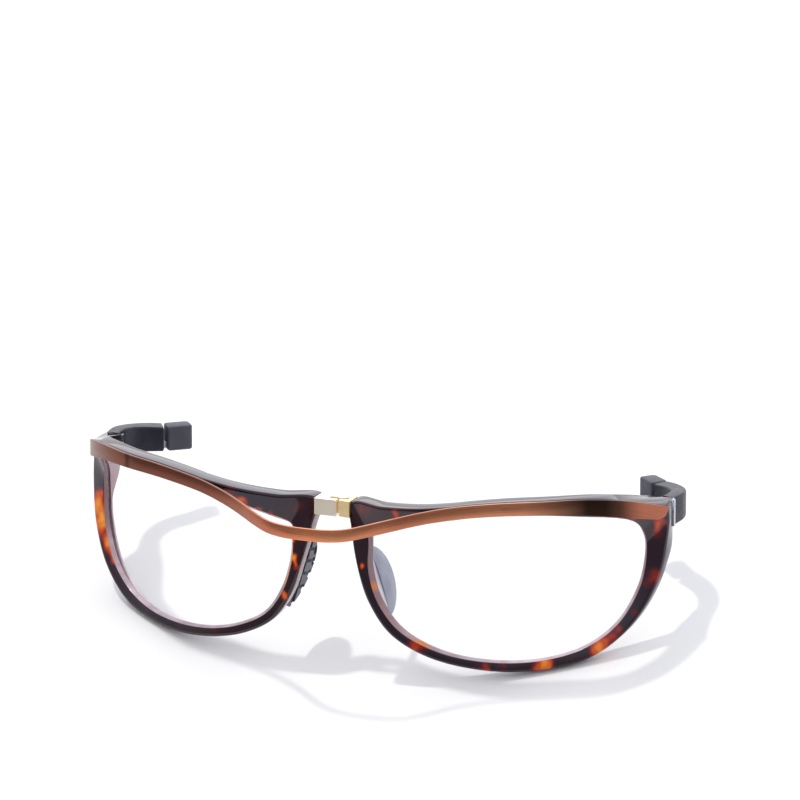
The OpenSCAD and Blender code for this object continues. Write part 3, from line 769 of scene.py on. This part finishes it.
def tip_pad(side, name, body):
    w, near, far = (TEMPLE_W - TIP_NARROWER) / 2, -TIP_OVERHANG, TIP_LEN - TIP_OVERHANG
    radii = [TIP_NEAR_ROUND, TIP_FAR_ROUND, TIP_FAR_ROUND, TIP_NEAR_ROUND]
    points, faces = prism(rounded(block(near, -w, far, w), radii, 5), -TIP_H, 0, TIP_EDGE_ROUND)
    obj = make(f"{name}_finished", [at_tip(p) for p in points], faces, side)
    # Room for the temple core's tongue
    low = TIP_LOBE_TOP - TIP_LOBE - LOBE_GAP - TIP_JOINT[2]
    for shape in (disc(0, 0, TIP_R + MOVE_GAP), block(near - 1, -TIP_R, 0, TIP_R)):
        points, faces = prism(shape, low, low + TIP_LOBE + 2 * LOBE_GAP)
        cut(obj, make("cutter", [at_tip(p) for p in points], faces, side))
    return dress(obj, "tip_rubber", body, tip, stands_for=[name])


for side, word in ((-1, "left"), (1, "right")):
    half = f"{word}_half"
    rim(side, f"rim_{word}", half)
    lens(side, f"lens_{word}", half)
    nose_pad(side, f"nose_pad_{word}", half)
    temple(side, f"temple_{word}", f"temple_arm_{word}")
    tip_pad(side, f"tip_pad_{word}", f"tip_{word}")
front_bar()

# ---- CAD pieces that show as they are ----

def finish_node(name, finish, rounding):
    node = NODES[name]
    node.data.materials.clear()
    node.data.materials.append(finish.material)
    if rounding:
        modifier = node.modifiers.new("edges", "BEVEL")
        modifier.width = rounding * MM
        modifier.segments = 2
        modifier.limit_method = "ANGLE"
        modifier.angle_limit = math.radians(40)


finish_node("bridge_pin", pale_gold, 0.05)
finish_node("bridge_block_left", pale_gold, 0.1)
finish_node("bridge_block_right", warm_gold, 0.1)
for word in ("left", "right"):
    finish_node(f"hinge_plate_{word}", silver, 0.08)
    finish_node(f"hinge_pin_{word}", steel, 0.04)
    finish_node(f"bar_stud_{word}", steel, 0.0)
    finish_node(f"temple_core_{word}", steel, 0.04)
    finish_node(f"tip_pin_{word}", steel, 0.0)
    finish_node(f"nose_pad_clip_{word}", pale, 0.1)

# ---- floor, light and camera ----

# Half the floor's side, and how far it lies below the object, in metres
FLOOR_HALF, FLOOR_DROP = 0.6, 0.00002
mesh = bpy.data.meshes.new("floor")
corners = block(-FLOOR_HALF, -FLOOR_HALF, FLOOR_HALF, FLOOR_HALF)
mesh.from_pydata([(x, y, -FLOOR_DROP) for x, y in corners], [], [(0, 1, 2, 3)])
mesh.materials.append(paper.material)
floor = bpy.data.objects.new("floor", mesh)
bpy.context.scene.collection.objects.link(floor)

world = bpy.data.worlds.new("studio")
bpy.context.scene.world = world
world.use_nodes = True
tree = world.node_tree
background = tree.nodes["Background"]

# A pale room, with a bright wall behind the object, a dim one in front of it and an even ceiling
SMOOTH = {"interpolation_type": "SMOOTHSTEP"}
CEILING = 0.92
outwards = add_node(tree, "ShaderNodeTexCoord").outputs["Generated"]
heading = add_node(tree, "ShaderNodeSeparateXYZ", Vector=outwards)
wall = add_node(tree, "ShaderNodeMapRange", SMOOTH, Value=heading.outputs["Y"],
                From_Min=-0.75, From_Max=0.95, To_Min=0.3, To_Max=2.3).outputs[0]
roof = add_node(tree, "ShaderNodeMapRange", SMOOTH, Value=heading.outputs["Z"],
                From_Min=0.25, From_Max=0.8, To_Min=0.0, To_Max=1.0).outputs[0]
level = add_node(tree, "ShaderNodeMix", i0=roof, i2=wall, i3=CEILING).outputs[0]
background.inputs["Color"].default_value = (0.955, 0.965, 1.0, 1)
tree.links.new(level, background.inputs["Strength"])

sun = bpy.data.lights.new("key", "SUN")
sun.energy = 1.0
sun.angle = math.radians(3)
sun.color = (1.0, 0.98, 0.93)
key = bpy.data.objects.new("key", sun)
bpy.context.scene.collection.objects.link(key)
key.rotation_euler = Vector((0.31, -0.27, -1.0)).to_track_quat("-Z", "Y").to_euler()

# The camera stands to the right of the level front and a little above it.
TURN, RISE, DISTANCE = math.radians(22.5), math.radians(16.66), 2256.3
RIGHT = Vector((math.cos(TURN), math.sin(TURN), 0))
AHEAD = Vector((-math.sin(TURN) * math.cos(RISE), math.cos(TURN) * math.cos(RISE), -math.sin(RISE)))
UP = RIGHT.cross(AHEAD)
# Where the camera stands and what it looks at, in mm to the right and up from the bridge
EYE_RIGHT, EYE_UP, AIM_RIGHT, AIM_UP = 13.27, -10.23, 15.54, 22.73
SENSOR, IMAGE_SIDE, PIXELS_PER_MM = 36, 800, 4.4
eye = -DISTANCE * AHEAD + EYE_RIGHT * RIGHT + EYE_UP * UP
aim = AIM_RIGHT * RIGHT + AIM_UP * UP
look = (FRONT @ (aim - eye)).normalized()
right = look.cross(FRONT @ UP).normalized()
up = right.cross(look)
camera = bpy.data.objects.new("camera", bpy.data.cameras.new("camera"))
camera.data.sensor_width = SENSOR
camera.data.lens = DISTANCE * PIXELS_PER_MM * SENSOR / IMAGE_SIDE
camera.data.clip_end = 20
camera.matrix_world = Matrix.Translation(stand(eye)) @ Matrix((right, up, -look)).transposed().to_4x4()
bpy.context.scene.collection.objects.link(camera)
bpy.context.scene.camera = camera
bpy.context.scene.view_settings.view_transform = "Standard"
